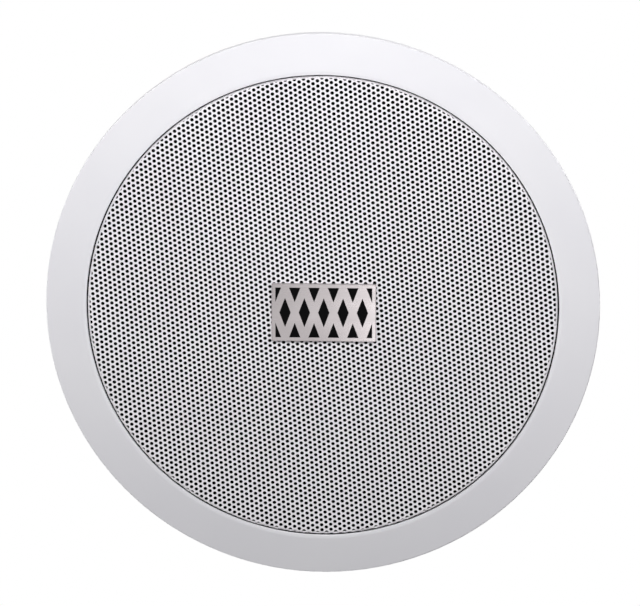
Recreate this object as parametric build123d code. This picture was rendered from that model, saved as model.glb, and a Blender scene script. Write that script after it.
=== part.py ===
from build123d import *
import math
import os

# Round in-ceiling loudspeaker with an open back. Millimetres.
# +Z points up into the ceiling void, Z = 0 is the underside of the ceiling,
# and the grille faces down along -Z. Radii are written as (radius, height) pairs.

# Bezel ring
bezel_radius = 115.0
bezel_width = 16.95
bezel_edge_height = 3.2
bezel_rise = 2.6
edge_round = 0.4
lip_round = 0.4
lip_sheet = 1.0
lip_undercut = 1.0
lip_land = 1.6
flange_wall = 2.4
flange_rib_count = 24
flange_rib_width = 1.4
rebate_depth = 1.0

# Moulding behind the bezel
wall = 3.0
spigot_step = 3.45
spigot_wall = 2.6
spigot_height = 8.0
pocket_floor_width = 11.55
seat_height = 6.0
channel_rib_count = 16
channel_rib_width = 1.8
rib_bite = 0.5
rib_drop = 1.0
seat_round = 1.5

# Grille
grille_gap = 0.65
grille_sheet = 0.5
grille_edge_round = 0.8
grille_proud = 0.8
grille_dome = 1.8
hole_pitch = 16.6
hole_open_share = 0.32
cloth_thickness = 0.3
cloth_gap = 0.2
cloth_inset = 0.1

# Badge
badge_length = 43.3
badge_width = 24.4
badge_thickness = 1.4
badge_shift_x = 0.7
badge_shift_y = 1.5
badge_corner = 0.5
badge_border = 1.6
badge_bar = 3.1
badge_recess = 0.4
badge_edge_break = 0.2
badge_diamonds = 5

# Driver
driver_gap = 3.5
basket_flange = 12.5
basket_sheet = 1.0
shelf_radius = 44.0
shelf_depth = 24.0
cup_radius = 35.0
cup_depth = 10.0
window_count = 4
window_angle = 62.0
window_margin = 5.0
window_round = 4.0
surround_sheet = 0.5
roll_lap = 2.1
roll_width = 10.6
surround_flat = 2.6
gasket_width = 2.6
gasket_height = 2.2
cone_sheet = 0.6
cone_neck_gap = 2.0
cone_bow = 0.46
glue_width = 1.0
coil_radius = 12.6
former_sheet = 0.25
former_stickout = 2.5
former_tail = 0.5
coil_wire = 0.4
coil_glue = 0.02
coil_height = 8.0
pole_gap = 0.35
whizzer_radius = 31.0
whizzer_depth = 13.0
whizzer_waist_radius = 18.9
whizzer_waist_depth = 7.2
whizzer_sheet = 0.4
top_plate_thickness = 4.0
magnet_radius = 40.0
magnet_bore = 20.0
magnet_thickness = 13.0
plate_inset = 4.0
yoke_thickness = 4.0
pole_vent = 4.0
basket_hole_gap = 1.0
plate_edge_break = 0.6
magnet_edge_break = 1.0
driver_screw_inset = 4.0
driver_screw_angles = (30, 120, 210, 300)
driver_boss_height = 8.0
spider_folds = 10
spider_wave = 0.9
spider_sheet = 0.4
spider_collar = 2.0
spider_edge_gap = 1.0
cap_rise = 5.0

# Driver's terminal board
board_length = 24.0
board_width = 11.0
board_sheet = 1.5
tag_spacing = 10.0
tag_width = 2.9
tag_sheet = 0.7
tag_outer = 8.5
tag_inner = 4.5
tag_eye_inset = 2.0
rivet_spacing = 20.0
rivet_radius = 1.2
rivet_head_radius = 2.0
rivet_head_height = 0.8

# Ceiling clamps
clamp_angles = (45, 135, 225, 315)
clamp_inset = 9.5
clamp_screw_radius = 2.0
clamp_head_radius = 3.6
clamp_head_height = 2.4
dog_width = 11.0
dog_reach = 23.0
dog_height = 9.0
dog_tip_height = 3.8
dog_notch_count = 4
dog_notch_pitch = 2.2
dog_notch_start = 2.0
dog_notch_size = 1.0
tower_height = 47.0
tower_wall = 2.6
tower_gap = 0.5
tower_edge_break = 0.8
clamp_screw_proud = 1.0

# Line transformer
transformer_angle = 90
transformer_inset = 2.5
core_width = 41.0
core_height = 34.0
core_stack = 14.0
leg_width = 13.0
bobbin_wall = 0.9
bobbin_reach = 6.5
winding_reach = 6.0
winding_side_gap = 0.7
winding_round = 2.5
strap_sheet = 0.9
foot_length = 9.5
boss_height = 4.0

# Terminal block
block_angle = 270
block_inset = 2.5
pole_count = 3
pole_pitch = 9.0
block_width = 17.0
block_base = 7.0
turret_radius = 3.3
turret_height = 6.0
turret_inset = 0.6
tube_width = 4.4
tube_wall = 0.8
terminal_screw_radius = 1.2
terminal_head_radius = 1.8
terminal_screw_length = 6.5

# Clearances and small hardware
bore_clearance = 0.08
paint_gap = 0.05
small_screw_radius = 1.5
small_head_radius = 2.7
small_head_height = 1.9
boss_wall = 2.5
pilot_end = 1.5
recess_width = 0.9
slot_width = 0.6
head_flat_share = 0.72
head_side_share = 0.45
recess_depth_share = 0.6
tip_share = 0.6

# Radii worked out from the bezel inwards, so that what fits together keeps together
pocket_radius = bezel_radius - bezel_width
spigot_radius = pocket_radius + spigot_step
clamp_circle = spigot_radius - clamp_inset
step_radius = pocket_radius - pocket_floor_width
transformer_circle = step_radius - transformer_inset
block_circle = step_radius - block_inset
driver_radius = step_radius - driver_gap
driver_screw_circle = driver_radius - driver_screw_inset
mouth_radius = driver_radius - basket_flange
roll_outer = mouth_radius + roll_lap
roll_inner = roll_outer - roll_width

# Positions worked out from the sizes above
lip_height = bezel_edge_height + bezel_rise
lip_radius = pocket_radius + lip_land
groove_radius = pocket_radius + lip_undercut
groove_front = lip_height - lip_sheet - lip_undercut
seat_back = seat_height + wall
spigot_inner = spigot_radius - spigot_wall
grille_radius = pocket_radius - grille_gap
grille_edge_height = lip_height + grille_proud
grille_top = grille_edge_height + grille_dome
flange_front = seat_height - basket_sheet
shelf_front = flange_front + shelf_depth
cone_neck_height = shelf_front - cone_neck_gap
cup_front = shelf_front + cup_depth
top_plate_front = cup_front + basket_sheet
magnet_front = top_plate_front + top_plate_thickness
yoke_front = magnet_front + magnet_thickness
yoke_back = yoke_front + yoke_thickness
pole_radius = coil_radius - former_sheet - pole_gap
plate_bore = coil_radius + coil_wire + pole_gap
former_end = top_plate_front + (top_plate_thickness + coil_height) / 2
bridge_bottom = tower_height - wall
dog_top = bridge_bottom - tower_gap
boss_top = seat_back + boss_height


def polar(radius, angle):
    """Point at a radius and an angle in degrees, as (x, y)."""
    turn = math.radians(angle)
    return radius * math.cos(turn), radius * math.sin(turn)


def turned(outline, rounds=()):
    """Solid of revolution from (radius, height) points. rounds pairs a corner's index with its radius."""
    face = Polygon(*outline, align=None)
    for index, radius in rounds:
        corner = face.vertices().sort_by_distance((*outline[index], 0))[0]
        face = fillet(corner, radius)
    return revolve(Plane.XZ * face, Axis.Z)


def washer(inner, outer, bottom, top):
    """Flat ring between two radii and two heights."""
    return turned([(inner, bottom), (outer, bottom), (outer, top), (inner, top)])


def sheet(path, thickness):
    """Closed outline of a folded sheet: a path of points, and that path moved to its right."""
    directions = []
    for start, end in zip(path, path[1:]):
        length = math.hypot(end[0] - start[0], end[1] - start[1])
        directions.append(((end[0] - start[0]) / length, (end[1] - start[1]) / length))
    moved = []
    for index, point in enumerate(path):
        before = directions[max(index - 1, 0)]
        after = directions[min(index, len(directions) - 1)]
        stretch = thickness / (1 + before[0] * after[0] + before[1] * after[1])
        right = (before[1] + after[1], -before[0] - after[0])
        moved.append((point[0] + stretch * right[0], point[1] + stretch * right[1]))
    return path + moved[::-1]


def block(x, y, z):
    """Box between pairs of limits on X, Y and Z."""
    box = Box(x[1] - x[0], y[1] - y[0], z[1] - z[0], align=Align.MIN)
    return Pos(x[0], y[0], z[0]) * box


def post(radius, bottom, top):
    """Upright cylinder between two heights."""
    return Pos(0, 0, (bottom + top) / 2) * Cylinder(radius, top - bottom)


def around(part, angles):
    """The part, turned about Z to each of the angles."""
    return [Rot(0, 0, angle) * part for angle in angles]


def spread(count, start=0.0):
    """Equal angles round a full turn."""
    return [start + 360.0 * step / count for step in range(count)]


def pan_screw(shank_radius, length, head_radius, head_height):
    """Cross-recess pan screw along +Z, with the underside of its head at Z = 0."""
    tip = shank_radius * tip_share
    profile = [
        (0, -head_height),
        (head_radius * head_flat_share, -head_height),
        (head_radius, -head_height * head_side_share),
        (head_radius, 0),
        (shank_radius, 0),
        (shank_radius, length - tip),
        (shank_radius - tip, length),
        (0, length),
    ]
    depth = head_height * recess_depth_share
    cross = Box(head_radius, recess_width, depth) + Box(recess_width, head_radius, depth)
    return turned(profile) - Pos(0, 0, -head_height + depth / 2) * cross


def bezel_front(radius):
    """Depth of the bezel's face below the ceiling at a radius."""
    share = (bezel_radius - radius) / (bezel_radius - lip_radius)
    return bezel_edge_height + bezel_rise * share


def flange_groove():
    """Ring-shaped hollow that cores out the back of the bezel."""
    inner = spigot_radius + flange_wall
    outer = bezel_radius - flange_wall
    return turned([
        (inner, 0),
        (outer, 0),
        (outer, flange_wall - bezel_front(outer)),
        (inner, flange_wall - bezel_front(inner)),
    ])


def clamp_tower():
    """Tower for one clamp, at angle 0: inner wall, stop fin and the bridge over the screw's end."""
    half = dog_width / 2
    inner_face = clamp_circle - half - tower_gap
    inner_back = inner_face - tower_wall
    fin_face = -half - tower_gap
    fin_back = fin_face - tower_wall
    outer_end = spigot_inner + spigot_wall / 2
    web = block((inner_back, inner_face), (fin_back, half), (seat_height, tower_height))
    fin = block((inner_back, outer_end), (fin_back, fin_face), (wall / 2, tower_height))
    plan = Pos(clamp_circle, 0) * Circle(half)
    plan += Pos((inner_back + clamp_circle) / 2, 0) * Rectangle(clamp_circle - inner_back, dog_width)
    plan += Pos(clamp_circle, fin_back / 2) * Rectangle(dog_width, -fin_back)
    bridge = Pos(0, 0, bridge_bottom) * extrude(plan, wall)
    tower = web + fin + bridge
    return chamfer(tower.faces().sort_by(Axis.Z)[-1].edges(), tower_edge_break)


def foot_places():
    """Centres of the transformer's two feet and the block's two fixing screws, as (x, y)."""
    spacing = core_width / 2 + strap_sheet + foot_length / 2
    places = []
    for side in (-1, 1):
        places.append((transformer_circle, side * spacing, transformer_angle))
        places.append((block_circle, side * pole_pitch / 2, block_angle))
    return places


def bezel_ring():
    """The visible white ring, ribbed behind. A groove under its lip takes the grille's seal.

    Its inner edge slopes, so that the frame sits in it like a plug.
    """
    rebate_radius = spigot_radius + paint_gap
    ring = turned(
        [
            (bezel_radius, 0),
            (bezel_radius, -bezel_edge_height),
            (lip_radius, -lip_height),
            (pocket_radius, -lip_height),
            (pocket_radius, lip_sheet - lip_height),
            (groove_radius, -groove_front),
            (groove_radius, -rebate_depth),
            (rebate_radius - rebate_depth, -rebate_depth),
            (rebate_radius, 0),
        ],
        rounds=[(1, edge_round), (3, lip_round)],
    )
    groove = flange_groove()
    groove_span = (spigot_radius, bezel_radius)
    rib = block(groove_span, (-flange_rib_width / 2, flange_rib_width / 2), (-lip_height, 0))
    ribs = [groove & turned_rib for turned_rib in around(rib, spread(flange_rib_count))]
    return ring - groove + ribs


def grille_seal():
    """Black foam strip in the groove under the bezel's lip. It grips the grille's skirt."""
    inner = grille_radius + paint_gap
    outer = groove_radius - paint_gap
    return washer(inner, outer, -groove_front, -rebate_depth - paint_gap)


def mounting_frame():
    """The moulding above the ring: spigot, driver seat, clamp towers and screw bosses."""
    frame = turned(
        [
            (spigot_radius - rebate_depth, -rebate_depth),
            (pocket_radius, -rebate_depth),
            (pocket_radius, 0),
            (step_radius, 0),
            (step_radius, seat_height),
            (mouth_radius + 2 * basket_sheet, seat_height),
            (mouth_radius + 2 * basket_sheet, seat_back),
            (step_radius + wall, seat_back),
            (step_radius + wall, wall),
            (spigot_inner, wall),
            (spigot_inner, spigot_height),
            (spigot_radius, spigot_height),
            (spigot_radius, 0),
        ],
        rounds=[(7, seat_round)],
    )
    half = channel_rib_width / 2
    channel_span = (step_radius + wall / 2, spigot_inner + rib_bite)
    channel = block(channel_span, (-half, half), (wall / 2, spigot_height - rib_drop))
    ribs = around(channel, spread(channel_rib_count, 180 / channel_rib_count))
    ribs += around(clamp_tower(), clamp_angles)

    boss_radius = small_screw_radius + boss_wall
    driver_boss = post(boss_radius, seat_back, seat_back + driver_boss_height)
    ribs += [Pos(*polar(driver_screw_circle, angle)) * driver_boss for angle in driver_screw_angles]
    foot_boss = post(boss_radius, seat_back, boss_top)
    ribs += [Rot(0, 0, angle) * Pos(x, y) * foot_boss for x, y, angle in foot_places()]
    frame += ribs

    driver_pilot = post(small_screw_radius, 0, seat_back + driver_boss_height - pilot_end)
    foot_pilot = post(small_screw_radius, seat_back - pilot_end, 2 * boss_top)
    clearance = post(clamp_screw_radius + bore_clearance, -lip_height, 2 * tower_height)
    holes = [Pos(*polar(driver_screw_circle, angle)) * driver_pilot for angle in driver_screw_angles]
    holes += [Rot(0, 0, angle) * Pos(x, y) * foot_pilot for x, y, angle in foot_places()]
    holes += around(Pos(clamp_circle, 0) * clearance, clamp_angles)
    return frame - holes


def dome_height(radius):
    """Depth of the grille's face below the ceiling at a radius."""
    reach = grille_radius - grille_edge_round
    return grille_edge_height + grille_dome * (1 - (radius / reach) ** 2)


def dome_arc(depth, reach):
    """Arc of the dome's section at a depth under its face, from the axis to a radius."""
    points = [(radius, depth - dome_height(radius)) for radius in (0, reach / 2, reach)]
    return ThreePointArc(*points)


def lattice(radius):
    """Centres of the staggered holes that lie inside a radius."""
    row_height = hole_pitch * math.sqrt(3) / 2
    rows = math.ceil(radius / row_height)
    columns = math.ceil(radius / hole_pitch) + 1
    centres = []
    for row in range(-rows, rows + 1):
        for column in range(-columns, columns + 1):
            x = (column + 0.5 * (row % 2)) * hole_pitch
            y = row * row_height
            if math.hypot(x, y) <= radius:
                centres.append((x, y))
    return centres


def grille():
    """Domed sheet with a folded edge and a skirt. Its holes are drawn large, at the real open share."""
    reach = grille_radius - grille_edge_round
    inner_round = grille_edge_round - grille_sheet
    skirt_start = grille_edge_round - grille_edge_height
    centre = (reach, skirt_start)
    front = dome_arc(0, reach)
    bend = CenterArc(centre, grille_edge_round, 270, 90)
    skirt = Polyline(
        (grille_radius, skirt_start),
        (grille_radius, 0),
        (grille_radius - grille_sheet, 0),
        (grille_radius - grille_sheet, skirt_start),
    )
    inner_bend = CenterArc(centre, inner_round, 270, 90)
    back = dome_arc(grille_sheet, reach)
    axis = Line(front @ 0, back @ 0)
    section = make_face([front, bend, skirt, inner_bend, back, axis])
    shell = revolve(Plane.XZ * section, Axis.Z)

    hole_radius = hole_pitch * math.sqrt(hole_open_share / 3)
    hole = RegularPolygon(hole_radius, 6)
    spots = [Pos(x, y) * hole for x, y in lattice(reach - hole_radius)]
    punch = extrude(Pos(0, 0, -2 * grille_top) * Sketch(children=spots), 3 * grille_top)
    return shell - punch


def dust_cloth():
    """Black cloth close behind the grille."""
    reach = grille_radius - grille_edge_round - cloth_inset
    front = dome_arc(grille_sheet + cloth_gap, reach)
    back = dome_arc(grille_sheet + cloth_gap + cloth_thickness, reach)
    section = make_face([front, back, Line(front @ 0, back @ 0), Line(front @ 1, back @ 1)])
    return revolve(Plane.XZ * section, Axis.Z)


def badge_fields():
    """Recessed fields of the badge: a row of diamonds that the metal border and bars leave open."""
    length = badge_length - 2 * badge_border
    width = badge_width - 2 * badge_border
    panel = Rectangle(length, width)
    pitch = length / badge_diamonds
    slope = math.degrees(math.atan2(width, pitch))
    bar = Rectangle(2 * width, badge_bar)
    for step in range(badge_diamonds + 1):
        for lean in (-1, 1):
            panel -= Pos(step * pitch - length / 2, 0) * Rot(0, 0, lean * slope) * bar
    return panel


def badge_place(lift):
    """Position of the badge's local frame, a distance behind its front face."""
    return Pos(badge_shift_x, badge_shift_y, lift - grille_top - paint_gap - badge_thickness)


def badge_plate():
    """Satin metal plate near the middle of the grille."""
    plate = extrude(RectangleRounded(badge_length, badge_width, badge_corner), badge_thickness)
    plate = chamfer(plate.faces().sort_by(Axis.Z)[0].edges(), badge_edge_break)
    plate -= extrude(badge_fields(), badge_recess)
    return badge_place(0) * plate


def badge_inlay():
    """Dark enamel in the badge's recessed fields."""
    return badge_place(badge_recess / 2) * extrude(badge_fields(), badge_recess / 2)


def basket_path():
    """Section of the basket's inner face, from the flange's edge to the hole in its base."""
    return [
        (driver_radius, flange_front),
        (mouth_radius, flange_front),
        (shelf_radius, shelf_front),
        (cup_radius, shelf_front),
        (cup_radius, cup_front),
        (plate_bore + basket_hole_gap, cup_front),
    ]


def basket():
    """Pressed steel basket with open windows in its sloping wall."""
    shell = turned(sheet(basket_path(), basket_sheet))
    low = seat_back + window_margin - basket_sheet
    high = shelf_front - window_margin / 2
    reach = (cup_radius, driver_radius)
    pane = Polygon((reach[0], low), (reach[1], low), (reach[1], high), (reach[0], high), align=None)
    opening = revolve(Plane.XZ * pane, Axis.Z, revolution_arc=window_angle)
    edges = opening.edges().filter_by(GeomType.LINE)
    corners = [edge for edge in edges if abs(edge.tangent_at(0.5).Z) < 0.5]
    opening = Rot(0, 0, -window_angle / 2) * fillet(corners, window_round)
    shell -= around(opening, spread(window_count))
    hole = Cylinder(small_screw_radius + bore_clearance, 4 * basket_sheet)
    holes = [Pos(*polar(driver_screw_circle, angle), flange_front) * hole for angle in driver_screw_angles]
    slot = Box(tag_spacing + 2 * tag_width, tag_width, 6 * basket_sheet)
    bore = post(rivet_radius + paint_gap, -4 * basket_sheet, basket_sheet)
    bores = [Pos(side * rivet_spacing / 2, 0) * bore for side in (-1, 1)]
    return shell - holes - [board_place() * cut for cut in [slot] + bores]


def board_place():
    """Position of the terminal board: on the outside of one spoke, X round the basket, Z off the wall."""
    run = mouth_radius - shelf_radius
    slope = math.hypot(run, shelf_depth)
    normal = (shelf_depth / slope, run / slope)
    middle = (mouth_radius + shelf_radius) / 2 + basket_sheet * normal[0]
    height = (flange_front + shelf_front) / 2 + basket_sheet * normal[1]
    plane = Plane(origin=(middle, 0, height), x_dir=(0, 1, 0), z_dir=(normal[0], 0, normal[1]))
    return Rot(0, 0, 180 / window_count) * plane.location


def terminal_board():
    """Phenolic strip that carries the driver's solder tags."""
    strip = Pos(0, 0, paint_gap + board_sheet / 2) * Box(board_length, board_width, board_sheet)
    slot = Box(tag_width + paint_gap, tag_sheet + paint_gap, 4 * board_sheet)
    bore = Cylinder(rivet_radius + paint_gap, 4 * board_sheet)
    for side in (-1, 1):
        strip -= Pos(side * tag_spacing / 2, 0) * slot
        strip -= Pos(side * rivet_spacing / 2, 0) * bore
    return board_place() * strip


def solder_tags():
    """Two tinned tags through the terminal board."""
    half = (tag_width / 2, tag_sheet / 2)
    tag = block((-half[0], half[0]), (-half[1], half[1]), (-tag_inner, tag_outer))
    eye = Rot(90, 0, 0) * Cylinder(tag_width / 4, 2 * tag_width)
    tag -= Pos(0, 0, tag_outer - tag_eye_inset) * eye
    return [board_place() * Pos(side * tag_spacing / 2, 0) * tag for side in (-1, 1)]


def board_rivets():
    """Two rivets that hold the terminal board on its spoke."""
    seat = 2 * paint_gap + board_sheet
    rivet = post(rivet_radius, -2 * basket_sheet, seat + rivet_head_height / 2)
    rivet += post(rivet_head_radius, seat, seat + rivet_head_height)
    return [board_place() * Pos(side * rivet_spacing / 2, 0) * rivet for side in (-1, 1)]


def surround():
    """Half-roll between the cone's rim and the basket."""
    middle = (roll_inner + roll_outer) / 2
    radius = (roll_outer - roll_inner) / 2
    level = flange_front - surround_sheet / 2
    ring = Circle(radius + surround_sheet / 2) - Circle(radius - surround_sheet / 2)
    ring -= Pos(0, 2 * radius) * Rectangle(4 * radius, 4 * radius)
    section = Pos(middle, level) * ring
    flat = Rectangle(surround_flat + surround_sheet, surround_sheet)
    for edge, side in ((roll_inner, -1), (roll_outer, 1)):
        section += Pos(edge + side * (surround_flat - surround_sheet) / 2, level) * flat
    return revolve(Plane.XZ * section, Axis.Z)


def driver_gasket():
    """Ring on the front of the basket that clamps the surround's edge."""
    inner = roll_outer + surround_sheet
    front = flange_front - surround_sheet
    return washer(inner, inner + gasket_width, front - gasket_height, front)


def cone():
    """Paper cone with a narrow flat rim under the surround."""
    rim = flange_front + paint_gap
    middle = (roll_inner + coil_radius) / 2
    path = [
        (roll_inner, rim),
        (roll_inner - surround_flat, rim),
        (middle, rim + (cone_neck_height - rim) * cone_bow),
        (coil_radius + paint_gap, cone_neck_height),
    ]
    return turned(sheet(path, cone_sheet))


def whizzer_cone():
    """Small flared cone for the treble, glued to the neck of the main cone."""
    neck = cone_neck_height - 2 * cone_sheet
    path = [
        (whizzer_radius, neck - whizzer_depth),
        (whizzer_waist_radius, neck - whizzer_waist_depth),
        (coil_radius + paint_gap, neck - glue_width),
    ]
    return turned(sheet(path, whizzer_sheet))


def dust_cap():
    """Domed cap over the coil."""
    reach = coil_radius - former_sheet - paint_gap
    rim = cone_neck_height - 2 * cone_sheet
    front = ThreePointArc((0, rim - cap_rise), (reach / 2, rim - cap_rise * 0.75), (reach, rim))
    back = Pos(0, cone_sheet) * front
    section = make_face([front, back, Line(front @ 0, back @ 0), Line(front @ 1, back @ 1)])
    return revolve(Plane.XZ * section, Axis.Z)


def spider():
    """Corrugated disc that centres the coil."""
    level = shelf_front - spider_sheet - paint_gap
    neck = coil_radius + paint_gap
    inner = neck + spider_collar
    outer = cup_radius
    path = [(shelf_radius - spider_edge_gap, level), (outer, level)]
    for fold in range(1, spider_folds):
        radius = outer + (inner - outer) * fold / spider_folds
        path.append((radius, level + (spider_wave if fold % 2 else -spider_wave)))
    path += [(inner, level), (neck, level)]
    return turned(sheet(path, spider_sheet))


def transformer_place():
    """Position of the transformer's local frame: X outwards, Y round the frame, Z up from its feet."""
    return Rot(0, 0, transformer_angle) * Pos(transformer_circle, 0, boss_top)


def core_window():
    """Width of each of the core's two windows."""
    return (core_width - 2 * leg_width) / 2


def transformer_core():
    """Laminated core with two windows."""
    stack = block((-core_stack / 2, core_stack / 2), (-core_width / 2, core_width / 2), (0, core_height))
    for side in (-1, 1):
        middle = side * (leg_width + core_window()) / 2
        opening = Box(2 * core_stack, core_window(), core_height - leg_width)
        stack -= Pos(0, middle, core_height / 2) * opening
    return transformer_place() * stack


def bobbin_box(grow, height):
    """Box round the core's middle leg, larger than it by a margin."""
    return Box(core_stack + 2 * grow, leg_width + 2 * grow, height)


def bobbin_height():
    """Height of the core's windows, less a small clearance."""
    return core_height - leg_width - 2 * paint_gap


def transformer_bobbin():
    """Moulded bobbin on the core's middle leg."""
    height = bobbin_height()
    inside = 2 * paint_gap
    flange = Box(core_stack + 2 * bobbin_reach, leg_width + 2 * core_window() - 4 * paint_gap, bobbin_wall)
    shape = bobbin_box(inside + bobbin_wall, height)
    for side in (-1, 1):
        shape += Pos(0, 0, side * (height - bobbin_wall) / 2) * flange
    shape -= bobbin_box(inside, 2 * height)
    return transformer_place() * Pos(0, 0, core_height / 2) * shape


def transformer_winding():
    """Taped winding between the bobbin's flanges."""
    height = bobbin_height() - 2 * bobbin_wall - 2 * paint_gap
    tube = 2 * paint_gap + bobbin_wall + paint_gap
    width = leg_width + 2 * core_window() - 2 * winding_side_gap
    plan = RectangleRounded(core_stack + 2 * winding_reach, width, winding_round)
    solid = Pos(0, 0, -height / 2) * extrude(plan, height) - bobbin_box(tube, 2 * height)
    return transformer_place() * Pos(0, 0, core_height / 2) * solid


def transformer_bracket():
    """Steel strap over the core, with two screw feet."""
    half = core_width / 2 + paint_gap
    top = core_height + paint_gap
    path = [
        (half + strap_sheet + foot_length, 0),
        (half, 0),
        (half, top),
        (-half, top),
        (-half, 0),
        (-half - strap_sheet - foot_length, 0),
    ]
    strap = extrude(Plane.YZ * Polygon(*sheet(path, strap_sheet), align=None), core_stack / 2, both=True)
    spacing = core_width / 2 + strap_sheet + foot_length / 2
    hole = Cylinder(small_screw_radius + 2 * bore_clearance, 6 * strap_sheet)
    return transformer_place() * (strap - [Pos(0, side * spacing, 0) * hole for side in (-1, 1)])


def fixing_screws(side_angle, thickness):
    """Screws, heads up, through what stands on the bosses at one angle."""
    length = thickness + boss_height + pilot_end / 2
    screw = pan_screw(small_screw_radius - bore_clearance, length, small_head_radius, small_head_height)
    seated = Pos(0, 0, boss_top + thickness) * Rot(180, 0, 0) * screw
    return [Rot(0, 0, angle) * Pos(x, y) * seated for x, y, angle in foot_places() if angle == side_angle]


def driver_screws():
    """Screws that hold the driver in its seat."""
    length = basket_sheet + wall + driver_boss_height - 2 * pilot_end
    screw = pan_screw(small_screw_radius - bore_clearance, length, small_head_radius, small_head_height)
    return [Pos(*polar(driver_screw_circle, angle), flange_front) * screw for angle in driver_screw_angles]


def block_place():
    """Position of the terminal block's local frame: X outwards, Y round the frame, Z up from its foot."""
    return Rot(0, 0, block_angle) * Pos(block_circle, 0, boss_top)


def pole_offsets():
    """Positions of the block's poles along Y."""
    return [(index - (pole_count - 1) / 2) * pole_pitch for index in range(pole_count)]


def turret_places():
    """Centres of the block's screw turrets, as (x, y)."""
    reach = block_width / 2 - turret_radius - turret_inset
    return [(side * reach, offset) for offset in pole_offsets() for side in (-1, 1)]


def terminal_block():
    """Plastic terminal strip with a wire way and two screw turrets for each pole."""
    body = Pos(0, 0, block_base / 2) * Box(block_width, pole_count * pole_pitch, block_base)
    turret = post(turret_radius, block_base / 2, block_base + turret_height)
    body += [Pos(x, y) * turret for x, y in turret_places()]
    way = Box(2 * block_width, tube_width + 2 * paint_gap, tube_width + 2 * paint_gap)
    cuts = [Pos(0, offset, block_base / 2) * way for offset in pole_offsets()]
    drop = post(terminal_head_radius + bore_clearance, block_base / 2, 4 * block_base)
    cuts += [Pos(x, y) * drop for x, y in turret_places()]
    fixing = Cylinder(small_screw_radius + 2 * bore_clearance, 4 * block_base)
    cuts += [Pos(0, side * pole_pitch / 2) * fixing for side in (-1, 1)]
    return block_place() * (body - cuts)


def terminal_tubes():
    """Brass wire tubes in the block, one for each pole."""
    way = tube_width - 2 * tube_wall
    tube = Box(block_width - way, tube_width, tube_width) - Box(2 * block_width, way, way)
    reach = turret_places()[1][0]
    drop = post(terminal_screw_radius + bore_clearance, 0, 2 * tube_width)
    tube -= [Pos(side * reach, 0) * drop for side in (-1, 1)]
    return [block_place() * Pos(0, offset, block_base / 2) * tube for offset in pole_offsets()]


def terminal_screws():
    """Slotted clamping screws in the turrets."""
    shoulder = tube_width / 2 + paint_gap
    screw = post(terminal_screw_radius, tube_wall / 2, shoulder + tube_wall)
    screw += post(terminal_head_radius, shoulder, terminal_screw_length)
    screw -= Pos(0, 0, terminal_screw_length) * Box(3 * terminal_head_radius, slot_width, 2 * slot_width)
    return [block_place() * Pos(x, y, block_base / 2) * screw for x, y in turret_places()]


def clamp_screw():
    """Long screw of one clamp, at angle 0, with its head in front of the frame."""
    length = tower_height + clamp_screw_proud
    screw = pan_screw(clamp_screw_radius, length, clamp_head_radius, clamp_head_height)
    return Pos(clamp_circle, 0) * screw


def clamp_dog():
    """Clamp dog, at angle 0, parked along the spigot under the tower's bridge."""
    half = dog_width / 2
    span = dog_reach - half
    plan = Pos(0, span / 2) * Rot(0, 0, 90) * SlotCenterToCenter(span, dog_width)
    lever = extrude(plan, dog_height)
    side = Plane.YZ * Polygon(
        (-half, 0),
        (dog_reach, 0),
        (dog_reach, dog_tip_height),
        (half, dog_height),
        (-half, dog_height),
        align=None,
    )
    lever &= extrude(side, dog_width, both=True)
    notch = Rot(45, 0, 0) * Box(2 * dog_width, dog_notch_size, dog_notch_size)
    for step in range(dog_notch_count):
        lever -= Pos(0, dog_reach - dog_notch_start - dog_notch_pitch * step, 0) * notch
    lever -= Cylinder(clamp_screw_radius + bore_clearance, 4 * dog_height)
    return Pos(clamp_circle, 0, dog_top - dog_height) * lever


def coil_former():
    """Film tube that carries the voice coil."""
    return washer(coil_radius - former_sheet, coil_radius, cone_neck_height - former_stickout, former_end)


def voice_coil():
    """Copper winding on the end of the former."""
    inner = coil_radius + coil_glue
    return washer(inner, coil_radius + coil_wire, former_end - coil_height, former_end - former_tail)


def plate_radius():
    """Radius of the two steel plates that hold the magnet between them."""
    return magnet_radius - plate_inset


def broken_rims(part, radius, size):
    """The part, with its outer circular edges at a radius chamfered."""
    circles = part.edges().filter_by(GeomType.CIRCLE)
    rims = [edge for edge in circles if abs(edge.radius - radius) < paint_gap]
    return chamfer(rims, size)


def top_plate():
    """Front steel plate of the magnet, round the coil."""
    plate = washer(plate_bore, plate_radius(), top_plate_front, magnet_front)
    return broken_rims(plate, plate_radius(), plate_edge_break)


def magnet():
    """Ferrite ring magnet."""
    ring = washer(magnet_bore, magnet_radius, magnet_front, yoke_front)
    return broken_rims(ring, magnet_radius, magnet_edge_break)


def yoke():
    """Rear steel plate with the vented pole that stands inside the coil."""
    plate = turned([
        (pole_vent, top_plate_front),
        (pole_radius, top_plate_front),
        (pole_radius, yoke_front),
        (plate_radius(), yoke_front),
        (plate_radius(), yoke_back),
        (pole_vent, yoke_back),
    ])
    return broken_rims(plate, plate_radius(), plate_edge_break)


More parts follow.
